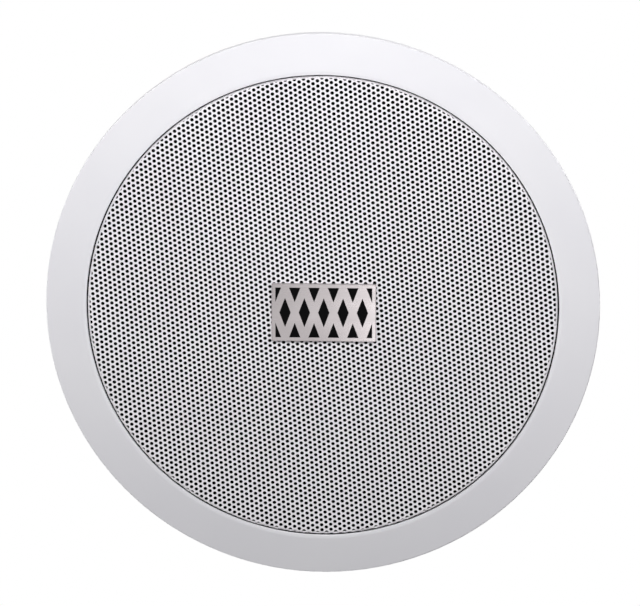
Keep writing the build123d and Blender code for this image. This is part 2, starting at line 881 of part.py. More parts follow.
parts = {
    "bezel_ring": bezel_ring(),
    "mounting_frame": mounting_frame(),
    "grille_seal": grille_seal(),
    "grille": grille(),
    "dust_cloth": dust_cloth(),
    "badge_plate": badge_plate(),
    "badge_inlay": badge_inlay(),
    "basket": basket(),
    "driver_gasket": driver_gasket(),
    "driver_screws": driver_screws(),
    "surround": surround(),
    "cone": cone(),
    "whizzer_cone": whizzer_cone(),
    "dust_cap": dust_cap(),
    "coil_former": coil_former(),
    "voice_coil": voice_coil(),
    "spider": spider(),
    "top_plate": top_plate(),
    "magnet": magnet(),
    "yoke": yoke(),
    "terminal_board": terminal_board(),
    "board_rivets": board_rivets(),
    "solder_tags": solder_tags(),
    "transformer_core": transformer_core(),
    "transformer_bobbin": transformer_bobbin(),
    "transformer_winding": transformer_winding(),
    "transformer_bracket": transformer_bracket(),
    "transformer_screws": fixing_screws(transformer_angle, strap_sheet),
    "terminal_block": terminal_block(),
    "terminal_tubes": terminal_tubes(),
    "terminal_screws": terminal_screws(),
    "block_screws": fixing_screws(block_angle, block_base),
}
for number, angle in enumerate(clamp_angles, start=1):
    parts[f"clamp_screw_{number}"] = Rot(0, 0, angle) * clamp_screw()
    parts[f"clamp_dog_{number}"] = Rot(0, 0, angle) * clamp_dog()

os.makedirs("parts", exist_ok=True)
for name, shape in parts.items():
    if isinstance(shape, list):
        shape = Compound(children=shape)
    export_step(shape, f"parts/{name}.step")
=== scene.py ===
# %% [markdown]
# # A round in-ceiling loudspeaker
# A flat white bezel ring, a domed perforated grille with a small metal badge, and behind them the driver,
# transformer, terminals and clamps that live in the ceiling void. The solids come in as a fixed frame, in
# metres, with +Z up into the void and the grille facing down. This lesson gives each solid its finish, and
# makes the few pieces that are too fine or too soft to be solids.

# %% Load the solids
import math

import bmesh
import bpy
import numpy as np
from mathutils import Matrix, Vector


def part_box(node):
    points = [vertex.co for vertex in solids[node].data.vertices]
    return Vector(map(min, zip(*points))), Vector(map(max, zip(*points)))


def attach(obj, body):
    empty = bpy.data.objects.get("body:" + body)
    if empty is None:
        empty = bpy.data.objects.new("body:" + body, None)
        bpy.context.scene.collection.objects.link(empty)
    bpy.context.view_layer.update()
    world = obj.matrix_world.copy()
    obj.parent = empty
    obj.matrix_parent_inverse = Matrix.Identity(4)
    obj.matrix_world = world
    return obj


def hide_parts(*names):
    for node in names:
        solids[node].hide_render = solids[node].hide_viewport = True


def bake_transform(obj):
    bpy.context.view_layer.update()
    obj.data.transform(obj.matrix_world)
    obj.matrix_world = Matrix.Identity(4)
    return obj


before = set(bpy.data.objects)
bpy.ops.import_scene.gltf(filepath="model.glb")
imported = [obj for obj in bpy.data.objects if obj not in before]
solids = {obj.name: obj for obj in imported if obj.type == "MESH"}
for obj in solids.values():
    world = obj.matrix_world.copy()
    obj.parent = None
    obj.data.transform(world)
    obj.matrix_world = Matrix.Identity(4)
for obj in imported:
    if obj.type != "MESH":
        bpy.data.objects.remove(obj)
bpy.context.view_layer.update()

# %% [markdown]
# ## Tools for the finishes
# Colours are written as they look on a screen, in sRGB hex, and the shader wants linear light, so one small
# function turns one into the other. A second adds a node with its settings and links in one line. Patterns
# are laid out in object coordinates, which are metres here, so a pattern's scale follows from its real
# size: a noise's scale is about the number of features in a metre, and a wave's comes from its phase.

# %% Colour, node and scale helpers
WAVE_PHASE = 20  # radians that a wave node turns through in one metre, at a scale of 1


def linear(code):
    """Linear colour of an sRGB hex code."""
    shares = [int(code[at:at + 2], 16) / 255 for at in (0, 2, 4)]
    return [c / 12.92 if c <= 0.04045 else ((c + 0.055) / 1.055) ** 2.4 for c in shares] + [1.0]


def add(tree, kind, links=None, **settings):
    """Adds a node. links gives its sockets values or other nodes' outputs, settings are its properties."""
    node = tree.nodes.new(kind)
    for name, value in settings.items():
        setattr(node, name, value)
    for name, value in (links or {}).items():
        if isinstance(value, bpy.types.NodeSocket):
            tree.links.new(value, node.inputs[name])
        else:
            node.inputs[name].default_value = value
    return node


def mm(size):
    """Millimetres as metres."""
    return size / 1000.0


def per_mm(size):
    """Noise scale at which one feature is about this many millimetres wide."""
    return 1000.0 / size


def bands(pitch):
    """Wave scale at which the bands are this many millimetres apart."""
    return per_mm(pitch) / WAVE_PHASE * math.pi * 2


print("scales for features of 1 mm: noise", per_mm(1.0), "wave", round(bands(1.0), 1))


# %% [markdown]
# ## How most finishes are built
# Nearly every surface here has the same three layers: a colour that drifts a little between two shades over
# some centimetres, a gloss that is never quite even, and a fine relief. Pictures of real surfaces could be
# wrapped round the solids instead, but noise needs no unwrapping and its size is known. So one function
# lays the layers down, and each finish says how large its features are and how deep. A relief finer than
# the picture can show, such as the 0.1 mm grain of a moulding, is drawn about 1 mm wide, so that it shows.

# %% A surface with drift, uneven gloss and relief
NOISE_SPAN = (0.3, 0.7)  # most values of a noise lie between these
GLOSS_PATCHES = 4  # patches of gloss across one patch of colour


def surface(name, colours, gloss, drift, relief, stretch=(1, 1, 1), metallic=0.0, ior=1.5):
    """colours: two hex codes. gloss: two roughness values. drift: mm. relief: (mm wide, mm deep)."""
    material = bpy.data.materials.new(name)
    material.use_nodes = True
    tree = material.node_tree
    shader = tree.nodes["Principled BSDF"]
    shader.inputs["Metallic"].default_value = metallic
    shader.inputs["IOR"].default_value = ior
    place = add(tree, "ShaderNodeTexCoord").outputs["Object"]
    drawn = add(tree, "ShaderNodeMapping", {"Vector": place, "Scale": stretch}).outputs["Vector"]
    cloud = add(tree, "ShaderNodeTexNoise", {"Vector": place, "Scale": per_mm(drift), "Detail": 3.0})
    ramp = add(tree, "ShaderNodeValToRGB", {"Fac": cloud.outputs["Fac"]})
    for stop, at, code in zip(ramp.color_ramp.elements, NOISE_SPAN, colours):
        stop.position = at
        stop.color = linear(code)
    tree.links.new(ramp.outputs["Color"], shader.inputs["Base Color"])
    grain = add(tree, "ShaderNodeTexNoise", {"Vector": drawn, "Scale": per_mm(relief[0]), "Detail": 2.0})
    patch = per_mm(drift / GLOSS_PATCHES)
    smear = add(tree, "ShaderNodeTexNoise", {"Vector": drawn, "Scale": patch, "Detail": 2.0})
    shine = add(tree, "ShaderNodeMapRange", {
        "Value": smear.outputs["Fac"], "From Min": NOISE_SPAN[0], "From Max": NOISE_SPAN[1],
        "To Min": gloss[0], "To Max": gloss[1]})
    tree.links.new(shine.outputs["Result"], shader.inputs["Roughness"])
    bump = add(tree, "ShaderNodeBump", {"Height": grain.outputs["Fac"], "Distance": mm(relief[1])})
    tree.links.new(bump.outputs["Normal"], shader.inputs["Normal"])
    return material


def parts_of(material):
    """Node tree, shader and bump of a finish, for adding to it."""
    tree = material.node_tree
    bump = next(node for node in tree.nodes if node.type == "BUMP")
    return tree, tree.nodes["Principled BSDF"], bump


# %% [markdown]
# ## Plastics
# The bezel and the frame are injection-moulded ABS with a satin finish: white, soft highlights, no visible
# grain from a step away. The clamp dogs are the same plastic in a drier texture. The terminal strip is pale
# nylon, the bobbin black nylon. One flat colour would make the large white faces look drawn, so even the
# bezel drifts by a shade over some centimetres.

# %% Moulded plastics
# Moulded in a finely blasted tool: broad soft highlights that fade without an edge.
satin_abs = surface("satin_moulded_abs", ("EAE9EE", "EEEDF1"), (0.34, 0.42), 60, (1.0, 0.0015), ior=1.53)
# Moulded in a coarser tool: a dry face with hardly any highlight.
dry_abs = surface("textured_moulded_abs", ("E2E2E3", "E9E9EA"), (0.48, 0.60), 30, (0.9, 0.012), ior=1.53)
# Unpainted nylon: waxy and a little yellow, with a soft sheen.
pale_nylon = surface("pale_moulded_nylon", ("D8D3C4", "E2DED1"), (0.42, 0.55), 8, (0.8, 0.008), ior=1.53)
# The same in black: deep colour, with a grey sheen along the edges.
black_nylon = surface("black_moulded_nylon", ("131313", "1B1B1C"), (0.40, 0.52), 8, (0.8, 0.008), ior=1.53)
print("plastics:", satin_abs.name, dry_abs.name, pale_nylon.name, black_nylon.name)

# %% [markdown]
# ## Coated and bare metals
# The grille is steel under white powder coat, the basket steel under black paint: both show a slight
# orange peel. Screws, bracket and magnet plates are zinc plated, which is a grey metal with cloudy patches.
# The badge is satin brushed aluminium, filled with black enamel. Its brushing could be left to anisotropic
# gloss. Here the noise of its relief is drawn out along its length instead, so that the grain itself shows.

# %% Coated metals
ENAMEL_SHINE = 0.04
# Baked powder: even white, and a faint orange peel that spreads each highlight.
powder_coat = surface("white_powder_coat", ("F4F0F5", "F8F5F9"), (0.42, 0.52), 40, (1.4, 0.004), ior=1.5)
# Dipped paint: black, with small bright highlights along the folds.
black_paint = surface("black_painted_steel", ("121213", "191A1A"), (0.26, 0.36), 25, (1.6, 0.010), ior=1.5)
# Matt enamel in the recesses: it takes in nearly all light, so the metal round it stands out.
enamel = surface("black_badge_enamel", ("050506", "09090A"), (0.46, 0.58), 6, (1.0, 0.003), ior=1.5)
parts_of(enamel)[1].inputs["Specular IOR Level"].default_value = ENAMEL_SHINE
print("coats:", powder_coat.name, black_paint.name, enamel.name)

# %% Bare metals
# Zinc on sheet steel: blue grey, in cloudy patches of bright and dull.
zinc = surface("zinc_plated_steel", ("A9ACAD", "C6C7C4"), (0.24, 0.40), 9, (1.2, 0.004), metallic=1.0)
# Zinc on rolled screws: brighter and a little yellow, because the steel under it is smooth.
screw_zinc = surface("zinc_plated_screw", ("B4B5B2", "CFCEC8"), (0.20, 0.32), 4, (0.8, 0.003), metallic=1.0)
# Dipped tin: a warm silver, smeared where it ran.
tin = surface("tinned_brass", ("CBC8BE", "DAD7CF"), (0.18, 0.30), 4, (0.8, 0.004), metallic=1.0)
# Turned brass: yellow, with sharp reflections.
brass = surface("turned_brass", ("C8A24E", "D9B765"), (0.20, 0.32), 4, (0.8, 0.003), metallic=1.0)
# Varnished wire: copper that the lacquer makes darker and redder.
copper = surface("lacquered_copper_wire", ("9C5328", "B7673A"), (0.22, 0.32), 4, (0.8, 0.004), metallic=1.0)
# Brushed, then lightly etched: a warm silver whose highlights are drawn out across the grain.
badge_metal = surface("brushed_satin_aluminium", ("ABA5A6", "BAB4B5"), (0.23, 0.30), 24, (0.5, 0.0035),
                      stretch=(0.05, 1.0, 1.0), metallic=1.0)
print("metals:", zinc.name, screw_zinc.name, tin.name, brass.name, copper.name, badge_metal.name)

# %% [markdown]
# ## The magnet and the transformer
# Ferrite is a sintered, ground ceramic: near black, dull, with small pits. The winding is wrapped in glossy
# yellow tape, and the terminal board is brown phenolic paper laminate. The core is a stack of 0.5 mm steel
# sheets seen edge on. Their seams could be cut as grooves, but they are no deeper than a scratch, so a wave
# texture draws them, 1 mm apart so that the lines show.

# %% Ferrite, tape and laminate
# Ground ceramic: near black and dry, with pits that catch the light.
ferrite = surface("ground_ferrite", ("29292B", "363638"), (0.50, 0.66), 12, (1.1, 0.030), ior=2.0)
# Wound tape: clear yellow, with long soft wrinkles that break up its gloss.
tape = surface("yellow_polyester_tape", ("D9A91E", "E6BC37"), (0.18, 0.30), 14, (3.5, 0.060), ior=1.6)
# Pressed paper and resin: brown, half gloss, a little mottled.
phenolic = surface("brown_phenolic_board", ("7A4A22", "8E5A2E"), (0.36, 0.48), 6, (0.8, 0.006), ior=1.6)
# Thin film: deep amber, smooth and shiny.
film = surface("amber_polyimide_film", ("8A4B14", "A25E1E"), (0.20, 0.30), 8, (1.0, 0.003), ior=1.7)
print("magnet and coil finishes:", ferrite.name, tape.name, phenolic.name, film.name)

# %% Laminated steel
SEAM_PITCH = 1.0
SEAM_DEPTH = 0.12
# Cut edges of steel sheets: dark, with a fine line between one sheet and the next.
core_steel = surface("laminated_core_steel", ("4A4B4E", "5C5D60"), (0.34, 0.48), 10, (1.0, 0.006),
                     metallic=1.0)
tree, shader, bump = parts_of(core_steel)
place = add(tree, "ShaderNodeTexCoord").outputs["Object"]
sheets = add(tree, "ShaderNodeTexWave", {"Vector": place, "Scale": bands(SEAM_PITCH)},
             bands_direction="Y", wave_profile="SAW")
seam = add(tree, "ShaderNodeBump", {"Height": sheets.outputs["Fac"], "Distance": mm(SEAM_DEPTH),
                                    "Normal": bump.outputs["Normal"]})
tree.links.new(seam.outputs["Normal"], shader.inputs["Normal"])
print("core finish:", core_steel.name, "with seams", SEAM_PITCH, "mm apart")

# %% [markdown]
# ## Paper, cloth and rubber
# The cone is pressed paper pulp, dyed black, and its fibres give it a matt, felted face. The surround is
# rubber, the spider is cotton stiffened with amber resin, and the dust cloth is a black woven polyester
# whose black is also painted shade: it stands in for the shadow inside the grille's holes.
# Single threads would be far too many to model, so a weave is two sets of bands that cross, as relief:
# 0.35 mm apart on the real cloths, drawn 0.9 mm apart so that they show.

# %% Pulp and rubber
# Felted fibres: a matt, soft black with a grey bloom.
black_pulp = surface("black_paper_pulp", ("1A1A1B", "242425"), (0.78, 0.92), 10, (1.2, 0.10), ior=1.45)
# The same, undyed and thinner: dull grey, with a finer felt.
grey_pulp = surface("grey_paper_pulp", ("3E3E3F", "4A4A4B"), (0.74, 0.90), 10, (1.2, 0.08), ior=1.45)
# Moulded rubber: black, with one soft highlight along the roll.
rubber = surface("matt_black_rubber", ("0F0F10", "161617"), (0.46, 0.60), 12, (0.9, 0.010), ior=1.52)
# Black foam with open cells that take in the light. Its black is also painted shade: it stands in for
# the shadow deep in the gap it fills, so that the gap reads as a dark line.
seal_foam_painted_gap_shade = surface("black_seal_foam_painted_gap_shade", ("0B0B0C", "121213"), (0.84, 0.94), 6, (0.8, 0.06), ior=1.45)
# Stamped card: flat black, slightly fuzzy.
gasket_card = surface("black_gasket_card", ("161616", "202020"), (0.80, 0.92), 8, (1.0, 0.05), ior=1.45)
print("soft finishes:", black_pulp.name, grey_pulp.name, rubber.name, seal_foam_painted_gap_shade.name, gasket_card.name)

# %% Woven cloths
WEAVE_PITCH = 0.9
WEAVE_DEPTH = 0.15
LOOSE_SHINE = 0.1


def weave(material):
    """Adds the relief of crossing threads to a finish."""
    tree, shader, bump = parts_of(material)
    place = add(tree, "ShaderNodeTexCoord").outputs["Object"]
    scale = bands(WEAVE_PITCH)
    warp = add(tree, "ShaderNodeTexWave", {"Vector": place, "Scale": scale}, bands_direction="X")
    weft = add(tree, "ShaderNodeTexWave", {"Vector": place, "Scale": scale}, bands_direction="Y")
    cross = add(tree, "ShaderNodeMath", {0: warp.outputs["Fac"], 1: weft.outputs["Fac"]},
                operation="MAXIMUM")
    threads = add(tree, "ShaderNodeBump", {"Height": cross.outputs["Value"], "Distance": mm(WEAVE_DEPTH),
                                           "Normal": bump.outputs["Normal"]})
    tree.links.new(threads.outputs["Normal"], shader.inputs["Normal"])
    return material


# Black threads with air between them: hardly any light comes back. Their black is also painted shade,
# the shadow inside the grille's holes.
dust_fabric_painted_hole_shade = weave(surface("black_woven_polyester_painted_hole_shade", ("060606", "0A0A0A"), (0.85, 0.95), 20, (1.0, 0.02)))
# Cotton soaked in resin: dull amber, crossed by raised threads.
spider_fabric = weave(surface("amber_resin_cotton", ("A8742C", "BF8B3F"), (0.60, 0.74), 9, (1.0, 0.02)))
# Weak reflections on the cloth and the foam keep their painted shade in the holes and the gap dark.
for loose in (dust_fabric_painted_hole_shade, seal_foam_painted_gap_shade):
    parts_of(loose)[1].inputs["Specular IOR Level"].default_value = LOOSE_SHINE
print("cloths:", dust_fabric_painted_hole_shade.name, spider_fabric.name)

# %% [markdown]
# ## Dressing the solids
# A solid whose shape is right keeps its mesh and only gets its finish. The table reads as a parts list:
# each finish with the pieces made of it.

# %% Finishes on the solids
finishes = {
    satin_abs: ["bezel_ring", "mounting_frame"],
    dry_abs: ["clamp_dog_1", "clamp_dog_2", "clamp_dog_3", "clamp_dog_4"],
    powder_coat: ["grille"],
    seal_foam_painted_gap_shade: ["grille_seal"],
    dust_fabric_painted_hole_shade: ["dust_cloth"],
    badge_metal: ["badge_plate"],
    enamel: ["badge_inlay"],
    black_paint: ["basket"],
    gasket_card: ["driver_gasket"],
    screw_zinc: ["driver_screws", "board_rivets", "transformer_screws", "terminal_screws", "block_screws",
                 "clamp_screw_1", "clamp_screw_2", "clamp_screw_3", "clamp_screw_4"],
    rubber: ["surround"],
    black_pulp: ["cone", "dust_cap"],
    grey_pulp: ["whizzer_cone"],
    film: ["coil_former"],
    copper: ["voice_coil"],
    spider_fabric: ["spider"],
    zinc: ["top_plate", "yoke", "transformer_bracket"],
    ferrite: ["magnet"],
    phenolic: ["terminal_board"],
    tin: ["solder_tags"],
    core_steel: ["transformer_core"],
    black_nylon: ["transformer_bobbin"],
    tape: ["transformer_winding"],
    pale_nylon: ["terminal_block"],
    brass: ["terminal_tubes"],
}
for finish, names in finishes.items():
    for name in names:
        for seat in solids[name].material_slots:
            seat.material = finish
print("dressed:", sum(len(names) for names in finishes.values()), "solids with", len(finishes), "finishes")


# %% [markdown]
# ## The perforated grille
# The real grille is a flat disc of perforated steel that was pressed into a shallow dome, rolled over at
# its edge and painted. It could be drawn as a pattern on a plain dome, but then the holes would have no
# depth and no rim, so here every hole is cut. The plan is laid out flat, one six-sided cell for each hole,
# and then wrapped over the dome, the folded edge and the skirt by its distance from the middle. The columns
# of holes lean by a few degrees, as in the photograph, and the plan is sheared a little to follow them. The
# cells at the fold are cut finer, because there the sheet turns through a right angle within one hole.

# %% Section of the grille, in millimetres
GRILLE_RADIUS = 97.4
EDGE_ROUND = 0.8
EDGE_DEPTH = 6.6
DOME = 1.8
SHEET = 0.5
edge_slope = math.atan(2 * DOME / (GRILLE_RADIUS - EDGE_ROUND))
dome_reach = GRILLE_RADIUS - EDGE_ROUND * (1 - math.sin(edge_slope))
bend_end = dome_reach + EDGE_ROUND * (math.pi / 2 - edge_slope)
skirt_end = bend_end + EDGE_DEPTH - EDGE_ROUND * math.cos(edge_slope)


def wrap(flat, depth):
    """Points of the flat plan, in mm, wrapped over the grille at a depth behind its face, in metres."""
    along = np.minimum(np.hypot(flat[:, 0], flat[:, 1]), skirt_end)
    turn = np.arctan2(flat[:, 1], flat[:, 0])
    lean = np.arctan(2 * DOME * np.minimum(along, dome_reach) / dome_reach ** 2)
    lean += np.clip(along - dome_reach, 0, bend_end - dome_reach) / EDGE_ROUND
    on_dome = np.minimum(along, dome_reach)
    radius = on_dome + EDGE_ROUND * np.where(along > dome_reach, np.sin(lean) - math.sin(edge_slope), 0)
    height = -EDGE_DEPTH - DOME * (1 - (on_dome / dome_reach) ** 2)
    height += EDGE_ROUND * np.where(along > dome_reach, math.cos(edge_slope) - np.cos(lean), 0)
    height += np.maximum(along - bend_end, 0)
    radius = radius - depth * np.sin(lean)
    height = height + depth * np.cos(lean)
    return mm(np.stack([radius * np.cos(turn), radius * np.sin(turn), height], axis=1))


print("flat radius of the grille's blank:", round(skirt_end, 2), "mm")

# %% Middles of the holes
HOLE_PITCH = 2.1834
HOLE_SHIFT = (-0.20, -0.68)
ROW_LEAN = 4.54
ROW_SLIP = 0.0084
LATTICE_SPARE = 1.2  # slanted rows need a few more steps to reach the rim


def slipped(flat):
    """Points of the plan with each column moved a little further along than its neighbour."""
    return np.stack([flat[:, 0], flat[:, 1] + ROW_SLIP * flat[:, 0]], axis=1)


def cell_centres():
    """Middles of the cells, in close-packed columns that lean a little, and the columns' direction."""
    turn = math.radians(-90 - ROW_LEAN)
    first = HOLE_PITCH * np.array([math.cos(turn), math.sin(turn)])
    second = HOLE_PITCH * np.array([math.cos(turn + math.pi / 3), math.sin(turn + math.pi / 3)])
    count = int(LATTICE_SPARE * skirt_end / HOLE_PITCH)
    steps = np.arange(-count, count + 1)
    a, b = np.meshgrid(steps, steps)
    centres = slipped(a.reshape(-1, 1) * first + b.reshape(-1, 1) * second) + HOLE_SHIFT
    return centres[np.hypot(centres[:, 0], centres[:, 1]) < skirt_end + HOLE_PITCH / 2], turn


centres, turn = cell_centres()
print("cells in the grille's plan:", len(centres))

# %% The flat plan of the cells
HOLE_RADIUS = 0.77
HOLE_SIDES = 12
SHARED_DIGITS = 4  # corners that agree to this many digits of a millimetre are one


def plan_of(centres, turn):
    """Flat points and triangles: six corners that neighbouring cells share, and a ring round each hole."""
    sides = turn + math.pi / 6 + np.arange(6) * math.pi / 3
    hexagon = slipped(HOLE_PITCH / math.sqrt(3) * np.stack([np.cos(sides), np.sin(sides)], axis=1))
    corners = centres[:, None, :] + hexagon
    rims = turn + math.pi / 6 + np.arange(HOLE_SIDES) * 2 * math.pi / HOLE_SIDES
    rings = centres[:, None, :] + HOLE_RADIUS * np.stack([np.cos(rims), np.sin(rims)], axis=1)
    rounded = np.round(corners.reshape(-1, 2), SHARED_DIGITS)
    keys, shared = np.unique(rounded, axis=0, return_inverse=True)
    shared = shared.reshape(-1, 6)
    ring = len(keys) + np.arange(len(centres) * HOLE_SIDES).reshape(-1, HOLE_SIDES)
    step = HOLE_SIDES // 6
    triangles = []
    for side in range(6):
        corner, following = shared[:, side], shared[:, (side + 1) % 6]
        at = side * step
        for turn_by in range(-(step // 2), step - step // 2):
            near, far = ring[:, (at + turn_by) % HOLE_SIDES], ring[:, (at + turn_by + 1) % HOLE_SIDES]
            triangles.append(np.stack([corner, far, near], axis=1))
        last = ring[:, (at + step - step // 2) % HOLE_SIDES]
        triangles.append(np.stack([corner, following, last], axis=1))
    return np.concatenate([keys, rings.reshape(-1, 2)]), np.concatenate(triangles)


def split(flat, triangles):
    """Each triangle cut into four at the middles of its sides."""
    sides = np.concatenate([triangles[:, [0, 1]], triangles[:, [1, 2]], triangles[:, [2, 0]]])
    pairs, where = np.unique(np.sort(sides, axis=1), axis=0, return_inverse=True)
    ab, bc, ca = len(flat) + where.reshape(3, -1)
    a, b, c = triangles.T
    quarters = [(a, ab, ca), (ab, b, bc), (ca, bc, c), (ab, bc, ca)]
    middles = (flat[pairs[:, 0]] + flat[pairs[:, 1]]) / 2
    return np.concatenate([flat, middles]), np.concatenate([np.stack(part, axis=1) for part in quarters])


# %% Wrapping the plan into sheet metal
FOLD_MARGIN = 1.4


def open_edges(triangles):
    """Directed edges that only one triangle has: the rims of the holes and the outside."""
    edges = np.concatenate([triangles[:, [0, 1]], triangles[:, [1, 2]], triangles[:, [2, 0]]])
    limit = edges.max() + 1
    forward = edges[:, 0] * limit + edges[:, 1]
    backward = edges[:, 1] * limit + edges[:, 0]
    return edges[~np.isin(forward, backward)]


def mesh_object(name, points, faces, finish, sharp=40):
    """New smooth-shaded object, with edges sharper than an angle left crisp."""
    mesh = bpy.data.meshes.new(name)
    mesh.from_pydata(points.tolist(), [], faces)
    mesh.validate()
    mesh.shade_smooth()
    mesh.set_sharp_from_angle(angle=math.radians(sharp))
    mesh.materials.append(finish)
    piece = bpy.data.objects.new(name, mesh)
    bpy.context.scene.collection.objects.link(piece)
    return piece


def grille_piece(name, centres, turn, finer=False):
    """Sheet metal for some of the cells: front, back, and walls in the holes and round the outside."""
    flat, triangles = plan_of(centres, turn)
    if finer:
        flat, triangles = split(flat, triangles)
    front = triangles[:, ::-1]
    rims = open_edges(front)
    behind = len(flat)
    walls = np.stack([rims[:, 0], rims[:, 0] + behind, rims[:, 1] + behind, rims[:, 1]], axis=1)
    points = np.concatenate([wrap(flat, 0), wrap(flat, SHEET)])
    faces = front.tolist() + (triangles + behind).tolist() + walls.tolist()
    piece = mesh_object(name, points, faces, powder_coat)
    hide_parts("grille")
    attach(piece, "frame")
    return piece


reach = np.hypot(centres[:, 0], centres[:, 1])
at_fold = (reach > dome_reach - FOLD_MARGIN) & (reach < bend_end + FOLD_MARGIN)
quarter = (np.arctan2(centres[:, 1], centres[:, 0]) // (math.pi / 2)).astype(int) % 4
pieces = [grille_piece("grille_fold", centres[at_fold], turn, finer=True)]
for number in range(4):
    cells = centres[(quarter == number) & ~at_fold]
    pieces.append(grille_piece(f"grille_sector_{number + 1}", cells, turn))
print("grille faces:", {piece.name: len(piece.data.polygons) for piece in pieces})

# %% [markdown]
# ## Turned soft pieces
# The dust cloth, the surround and the spider are all round, so each is a section turned about the axis. A
# screw modifier could turn them, but then the points on the axis would have to be joined afterwards. The
# cloth follows the inside of the grille and turns up at its edge, a dark sheet that paints shade into the
# holes in the fold too. The surround is a half roll and the spider a run of smooth waves, which is what
# lets them stretch as the cone moves.

# %% Turning a section
ON_AXIS = 1e-6


def turned(name, outline, finish, steps=144):
    """Piece turned from a closed outline of (radius, height) points, in mm, that may touch the axis."""
    angles = np.arange(steps) * 2 * math.pi / steps
    points, rows = [], []
    for radius, height in outline:
        if radius < ON_AXIS:
            rows.append([len(points)] * steps)
            points.append((0, 0, height))
            continue
        rows.append(list(range(len(points), len(points) + steps)))
        points += [(radius * math.cos(a), radius * math.sin(a), height) for a in angles]
    faces = []
    for near, far in zip(rows, rows[1:] + rows[:1]):
        for at in range(steps):
            corners = [near[at], near[(at + 1) % steps], far[(at + 1) % steps], far[at]]
            corners = list(dict.fromkeys(corners))
            if len(corners) > 2:
                faces.append(corners)
    return mesh_object(name, mm(np.array(points)), faces, finish, sharp=50)


def thick_line(path, thickness):
    """Closed outline of a line of (radius, height) points, thickened to one side."""
    path = np.array(path)
    along = np.gradient(path, axis=0)
    along /= np.linalg.norm(along, axis=1)[:, None]
    other = path + thickness * np.stack([-along[:, 1], along[:, 0]], axis=1)
    return path.tolist() + other[::-1].tolist()


# %% Dust cloth
CLOTH = 0.3
CLOTH_GAP = 0.2
CLOTH_INSET = 0.3
# how far the cloth turns up past the fold, a dark sheet that paints shade into the holes there
CLOTH_TURN = 2.0
CLOTH_POINTS = 60
FOLD_POINTS = 6


def section(reach, depth):
    """Points (radius, height), in mm, at distances from the middle and a depth behind the grille's face."""
    return wrap(np.stack([reach, np.zeros_like(reach)], axis=1), depth)[:, [0, 2]] * 1000


over_dome = np.linspace(0, dome_reach, CLOTH_POINTS)
round_fold = np.linspace(dome_reach, bend_end, FOLD_POINTS)[1:]
face = section(np.concatenate([over_dome, round_fold, [bend_end + CLOTH_TURN]]), SHEET + CLOTH_GAP)
back = section(np.linspace(0, dome_reach - CLOTH_INSET, CLOTH_POINTS), SHEET + CLOTH_GAP + CLOTH)
face[0, 0] = back[0, 0] = 0.0
edge = face[-1] - (CLOTH, 0)
dust_cloth = turned("woven_dust_cloth_painted_hole_shade", [*face.tolist(), edge.tolist(), *back[::-1].tolist()], dust_fabric_painted_hole_shade)
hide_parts("dust_cloth")
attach(dust_cloth, "frame")

# %% Surround
ROLL_INNER = 62.0
ROLL_OUTER = 72.6
ROLL_FLAT = 2.6
ROLL_SHEET = 0.5
ROLL_LEVEL = 4.5
ROLL_POINTS = 25
roll = (ROLL_OUTER - ROLL_INNER) / 2
middle = (ROLL_OUTER + ROLL_INNER) / 2
sweep = np.linspace(0, math.pi, ROLL_POINTS)
line = [(ROLL_INNER - ROLL_FLAT, ROLL_LEVEL), (ROLL_INNER - ROLL_FLAT / 2, ROLL_LEVEL)]
line += [(middle - roll * math.cos(a), ROLL_LEVEL - roll * math.sin(a)) for a in sweep]
line += [(ROLL_OUTER + ROLL_FLAT / 2, ROLL_LEVEL), (ROLL_OUTER + ROLL_FLAT, ROLL_LEVEL)]
surround = turned("half_roll_surround", thick_line(line, ROLL_SHEET), rubber)
print("surround: roll of", round(roll, 2), "mm radius,", len(surround.data.polygons), "faces")

# %% Spider
SPIDER_NECK = 12.65
SPIDER_INNER = 14.65
SPIDER_OUTER = 35.0
SPIDER_EDGE = 43.0
SPIDER_SHEET = 0.4
SPIDER_LEVEL = 28.55
SPIDER_WAVES = 5
SPIDER_HEIGHT = 0.9
SPIDER_POINTS = 81
line = [(SPIDER_NECK, SPIDER_LEVEL)]
for share in np.linspace(0, 1, SPIDER_POINTS):
    swing = SPIDER_HEIGHT * math.sin(2 * math.pi * SPIDER_WAVES * share)
    line.append((SPIDER_INNER + (SPIDER_OUTER - SPIDER_INNER) * share, SPIDER_LEVEL + swing))
line += [((SPIDER_OUTER + SPIDER_EDGE) / 2, SPIDER_LEVEL), (SPIDER_EDGE, SPIDER_LEVEL)]
spider = turned("corrugated_spider", thick_line(line, SPIDER_SHEET), spider_fabric)
print("spider:", SPIDER_WAVES, "waves,", len(spider.data.polygons), "faces")

# %% [markdown]
# The two suspensions join the cone to the frame, so on the real speaker their inner edges move with the
# cone and their outer edges stay. Here each only takes the place of its solid and is not tied to the cone.

# %% Suspensions in place of their solids
def hang(piece, node, inner, outer):
    """Hides the solid of a round piece and fixes the piece's placement into its points. It also works out a
    share from 0 at the outer radius to 1 at the inner one, in mm, but does not apply it.
    """
    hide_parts(node)
    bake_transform(piece)
    radii = np.array([math.hypot(v.co.x, v.co.y) for v in piece.data.vertices])
    share = np.clip((mm(outer) - radii) / mm(outer - inner), 0, 1)
    share = share * share * (3 - 2 * share)


hang(surround, "surround", ROLL_INNER, ROLL_OUTER)
hang(spider, "spider", SPIDER_INNER, SPIDER_OUTER)
print("suspensions:", surround.name, spider.name)

# %% [markdown]
# ## Threads on the clamp screws
# Each clamp dog climbs on a long zinc-plated screw with the coarse thread of a screw for plastic. Its solid
# is a plain rod. A thread could be left to bump, but then the outline of the rod would stay straight, so
# the rod is drawn in to the thread's root here and a ridge is wound round it, as high as the rod was. The
# head and the tip stay as the solid has them.

# %% The rod drawn in to the thread's root, in millimetres
THREAD_ROOT = 1.45
THREAD_CREST = 2.0
THREAD_START = 2.6
THREAD_END = 45.4
THREAD_TAPER = 0.4
WELD = 0.001


